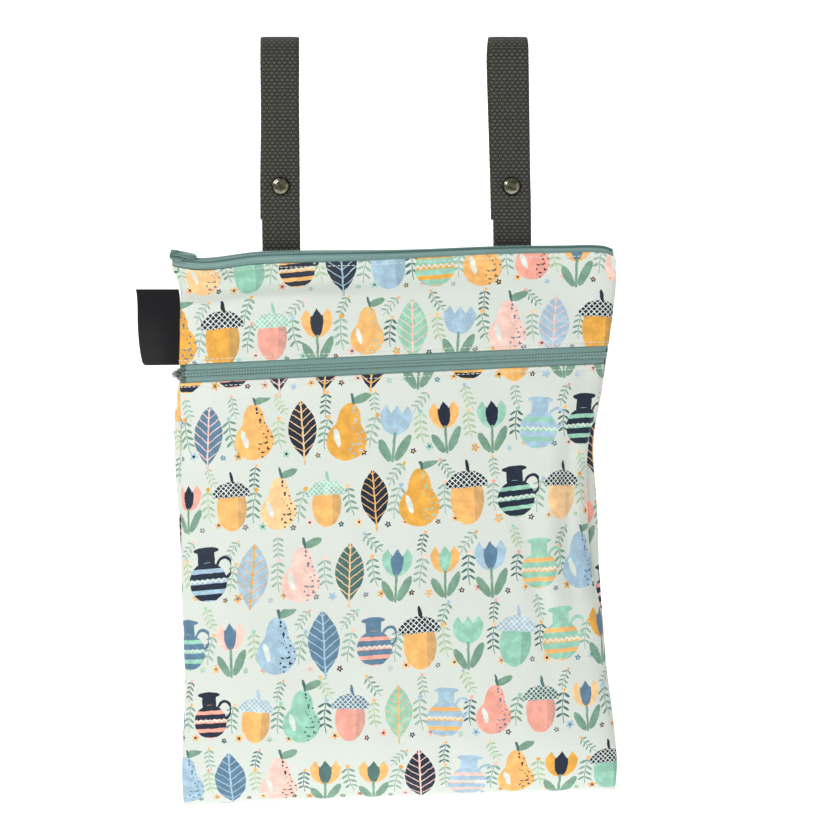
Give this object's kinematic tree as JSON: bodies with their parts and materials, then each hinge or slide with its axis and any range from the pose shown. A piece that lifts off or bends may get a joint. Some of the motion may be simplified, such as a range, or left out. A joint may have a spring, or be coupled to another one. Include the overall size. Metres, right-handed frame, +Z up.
{
  "type": "cloth diaper wet bag",
  "caption": "Zipped cloth wet bag with a zipped front pocket, hung from a bar by snapped webbing loops sewn to its back.",
  "frame": {"origin": "on the axis of the 25.4 mm bar that the two loops hang on, midway between the loops", "axes": "+Z up, +X to the right as the front is seen, front faces -Y"},
  "size_m": [0.313, 0.0585, 0.4997],
  "materials": {
    "printed_cloth": "satin, printed",
    "zip_tape": "woven",
    "zip_coil": "satin",
    "teal_metal": "enamelled",
    "grey_metal": "satin",
    "webbing": "woven",
    "snap_metal": "dark antique",
    "label_satin": "satin"
  },
  "bodies": {
    "bag": {"front_upper_panel": "printed_cloth", "front_lower_panel": "printed_cloth", "back_panel": "printed_cloth", "top_zip_tape_front": "zip_tape", "top_zip_tape_back": "zip_tape", "front_zip_tape_upper": "zip_tape", "front_zip_tape_lower": "zip_tape", "top_zip_coil": "zip_coil", "front_zip_coil": "zip_coil", "top_zip_slider": "teal_metal", "front_zip_slider": "grey_metal", "strap_left": "webbing", "strap_right": "webbing", "snap_cap_left": "snap_metal", "snap_stud_left": "snap_metal", "snap_cap_right": "snap_metal", "snap_stud_right": "snap_metal", "side_label": "label_satin"},
    "top_pull": {"top_zip_pull": "teal_metal"},
    "front_pull": {"front_zip_pull": "grey_metal"}
  },
  "joints": [
    {"name": "top_pull_hinge", "type": "hinge", "parent": "bag", "child": "top_pull", "pos_m": [-0.1428, -0.00729, -0.12568], "axis": [-0.0822, -0.6666, -0.7409], "range_deg": [0, 195]},
    {"name": "front_pull_hinge", "type": "hinge", "parent": "bag", "child": "front_pull", "pos_m": [-0.14233, -0.00198, -0.20417], "axis": [0, 0, 1], "range_deg": [0, 195]}
  ]
}
